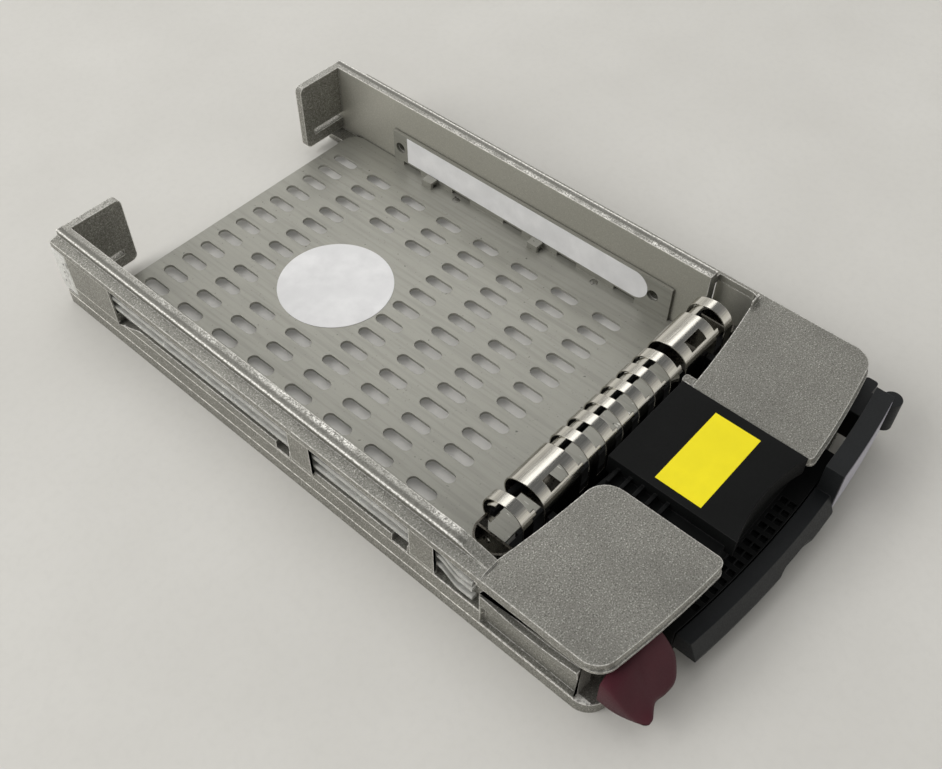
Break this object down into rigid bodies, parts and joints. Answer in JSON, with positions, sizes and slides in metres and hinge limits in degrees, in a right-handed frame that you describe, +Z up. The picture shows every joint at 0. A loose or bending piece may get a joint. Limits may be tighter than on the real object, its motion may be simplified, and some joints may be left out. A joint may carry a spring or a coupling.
{
  "type": "hot swap drive caddy",
  "caption": "Hot swap caddy for a 3.5 inch drive: cast side rails with front wings, perforated sheet floor, shield strip, black front with hinged lever and release latch.",
  "frame": {"origin": "centre of the bounding box, on the plane that the runners rest on", "axes": "+X across to the lever hinge side, +Y to the connector end, +Z up out of the open drive bay"},
  "size_m": [0.117, 0.211, 0.028],
  "materials": {
    "cast_metal": "grainy die-cast metal",
    "floor_steel": "matte zinc-plated sheet",
    "shield_steel": "bright spring steel",
    "bracket_steel": "dark spring steel",
    "black_plastic": "fine-textured moulding",
    "lever_plastic": "fine-textured moulding",
    "latch_plastic": "satin moulding",
    "white_label": "smooth paper label",
    "yellow_label": "smooth label",
    "silver_label": "satin label",
    "clear_plastic": "clear moulding",
    "pipe_head_plastic": "clear moulding",
    "pin_steel": "ground",
    "spring_steel": "drawn wire",
    "screw_steel": "plated"
  },
  "bodies": {
    "carrier": {"left_rail": "cast_metal", "right_rail": "cast_metal", "floor_plate": "floor_steel", "round_label": "white_label", "left_flange_label": "white_label", "right_flange_label": "white_label", "shield_strip": "shield_steel", "left_shield_bracket": "bracket_steel", "right_shield_bracket": "bracket_steel", "front_bezel": "black_plastic", "block_label": "yellow_label", "lever_pin": "pin_steel", "lever_spring": "spring_steel", "latch_pin": "pin_steel", "latch_spring": "spring_steel", "upper_light_pipe": "clear_plastic", "middle_light_pipe": "clear_plastic", "lower_light_pipe": "clear_plastic", "light_pipe_head": "pipe_head_plastic", "floor_screws": "screw_steel", "bezel_screws": "screw_steel"},
    "lever": {"lever": "lever_plastic", "lever_label": "silver_label"},
    "latch": {"release_latch": "latch_plastic"}
  },
  "joints": [
    {"name": "lever_hinge", "type": "hinge", "parent": "carrier", "child": "lever", "pos_m": [0.0485, -0.0875, 0.013], "axis": [0, 0, 1], "range_deg": [0, 55]},
    {"name": "latch_pivot", "type": "hinge", "parent": "carrier", "child": "latch", "pos_m": [-0.0472, -0.0855, 0.013], "axis": [0, 0, -1], "range_deg": [0, 8], "stiffness_Nm_per_rad": 0.2}
  ]
}
